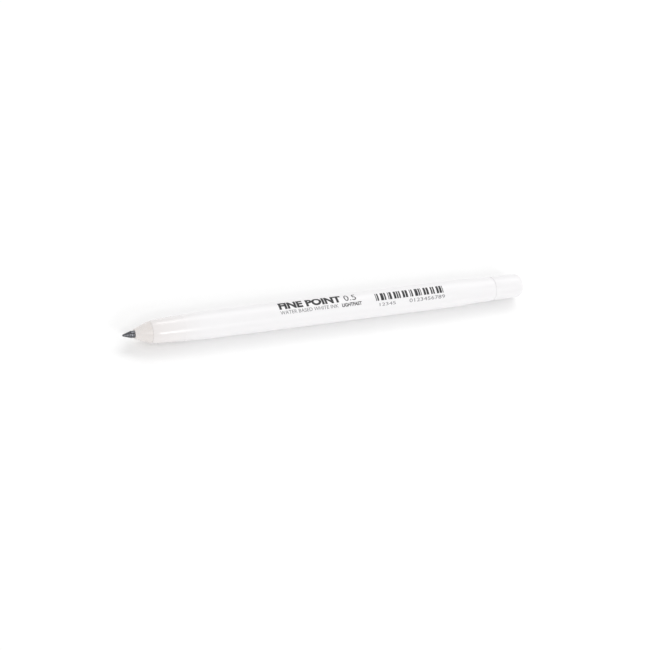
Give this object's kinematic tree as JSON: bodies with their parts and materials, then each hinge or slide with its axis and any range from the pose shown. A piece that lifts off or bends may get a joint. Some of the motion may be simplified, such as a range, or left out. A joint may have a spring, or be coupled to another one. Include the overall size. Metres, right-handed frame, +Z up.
{
  "type": "gel pen",
  "caption": "Uncapped gel ink pen with a white translucent barrel, a conical nose, a fine metal tip and a tapered tail plug.",
  "frame": {"origin": "on the surface that the pen lies on, below the middle of its length", "axes": "+X along the pen from the writing tip to the tail, +Z up"},
  "size_m": [0.141, 0.009, 0.009],
  "materials": {
    "barrel_plastic": "moulded milky white polypropylene, satin gloss",
    "nose_plastic": "moulded translucent white polypropylene",
    "tip_metal": "turned stainless steel with fine lathe lines",
    "ball_carbide": "lapped tungsten carbide",
    "spring_steel": "drawn stainless wire",
    "tube_plastic": "extruded clear polypropylene tube",
    "gel_ink": "opaque white pigment gel",
    "follower_grease": "clear straw-tinted grease"
  },
  "bodies": {
    "barrel": {"barrel": "barrel_plastic", "rear_plug": "barrel_plastic"},
    "refill": {"nose_cone": "nose_plastic", "tip_body": "tip_metal", "tip_spring": "spring_steel", "ink_tube": "tube_plastic", "gel_ink": "gel_ink"},
    "ball": {"tip_ball": "ball_carbide"},
    "follower": {"ink_follower": "follower_grease"}
  },
  "joints": [
    {"name": "refill_pull", "type": "slide", "parent": "barrel", "child": "refill", "axis": [-1, 0, 0], "range_m": [0, 0.107]},
    {"name": "ball_roll", "type": "hinge", "parent": "refill", "child": "ball", "pos_m": [-0.07025, 0, 0.0045], "axis": [0, 1, 0], "continuous": true},
    {"name": "follower_travel", "type": "slide", "parent": "refill", "child": "follower", "axis": [-1, 0, 0], "range_m": [0, 0.072], "deforming": ["gel_ink"]}
  ]
}
